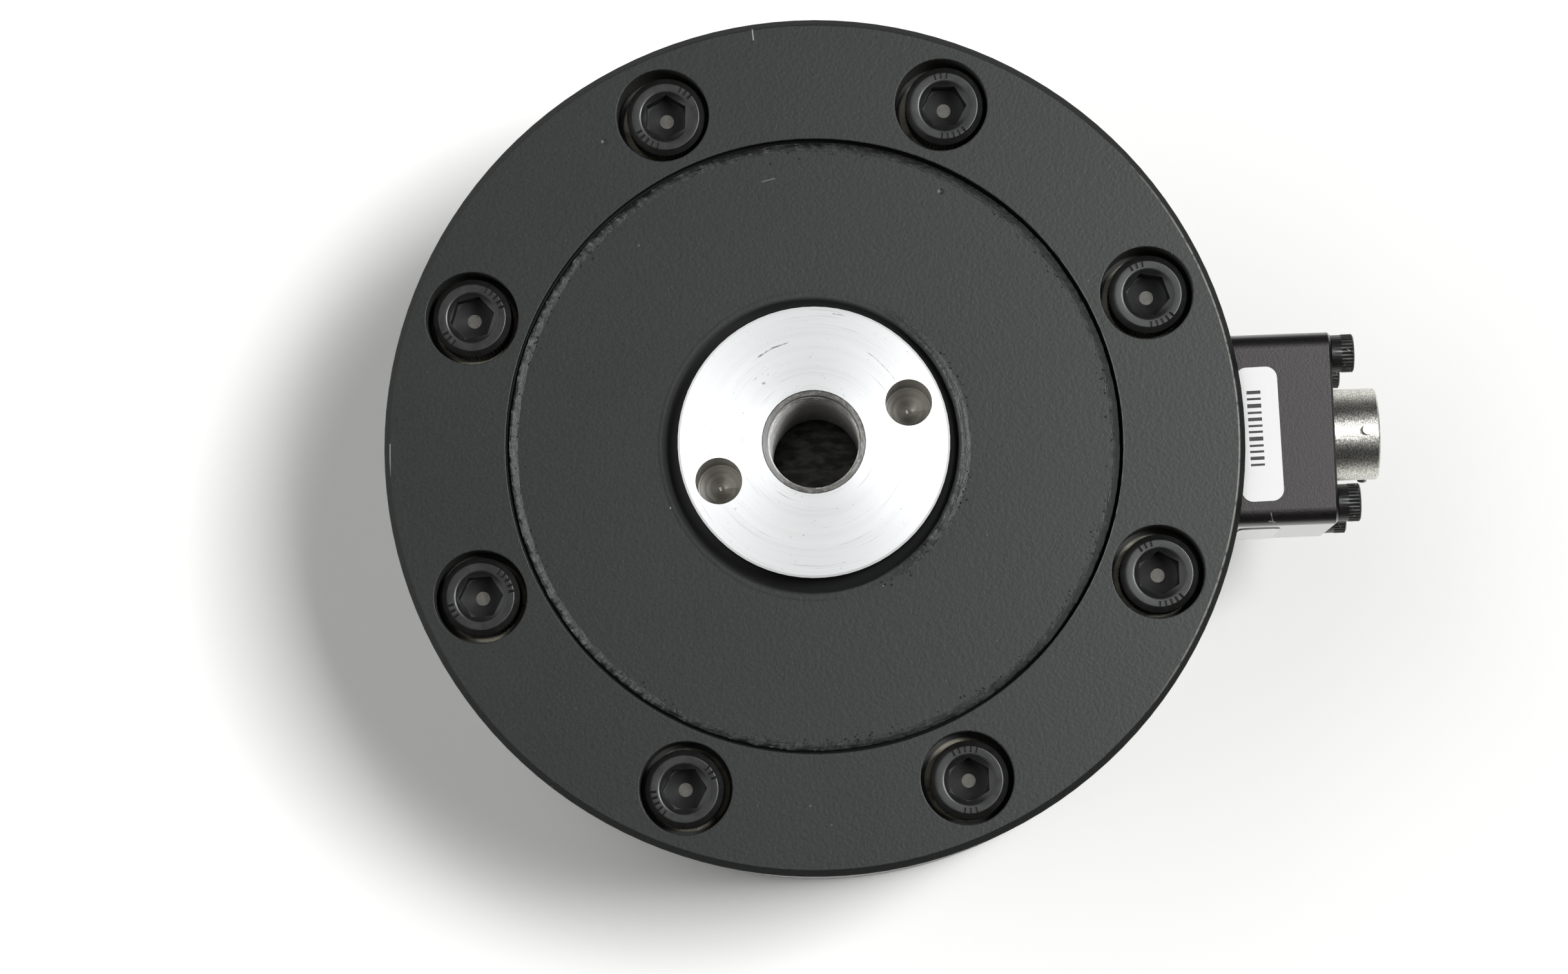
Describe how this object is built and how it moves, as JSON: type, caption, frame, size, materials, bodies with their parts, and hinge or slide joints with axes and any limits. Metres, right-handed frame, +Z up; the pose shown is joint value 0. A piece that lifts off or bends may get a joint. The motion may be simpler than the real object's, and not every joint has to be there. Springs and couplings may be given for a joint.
{
  "type": "load cell",
  "caption": "Low-profile round load cell on a base: black body with a bright threaded hub, screws around the rim and a bayonet connector on a side block.",
  "frame": {"origin": "on the load axis, in the plane of the base's underside", "axes": "+Z up along the load axis out of the hub, +X towards the connector"},
  "size_m": [0.1218, 0.1046, 0.0589],
  "materials": {
    "black_body": "matte",
    "black_cover": "matte",
    "black_base": "matte",
    "sealant": "satin",
    "black_screw": "satin",
    "dark_block": "satin",
    "gasket": "matte",
    "nickel": "satin",
    "insulator": "matte",
    "contact": "polished",
    "wire": "satin",
    "board": "satin",
    "resistor": "satin",
    "gauge": "gloss",
    "label": "satin"
  },
  "bodies": {
    "root": {"flexure_body": "black_body", "top_cover": "black_cover", "bottom_cover": "black_cover", "top_rim_seal": "sealant", "top_hub_seal": "sealant", "bottom_rim_seal": "sealant", "bottom_hub_seal": "sealant", "base": "black_base", "rim_screws": "black_screw", "connector_block": "dark_block", "block_gasket": "gasket", "block_screws": "black_screw", "connector_shell": "nickel", "shell_gasket": "gasket", "connector_nut": "nickel", "connector_insert": "insulator", "contact_pins": "contact", "lead_wires": "wire", "bridge_board": "board", "trim_resistors": "resistor", "gauge_harness": "wire", "strain_gauges": "gauge", "serial_label": "label", "side_label": "label"}
  },
  "joints": []
}
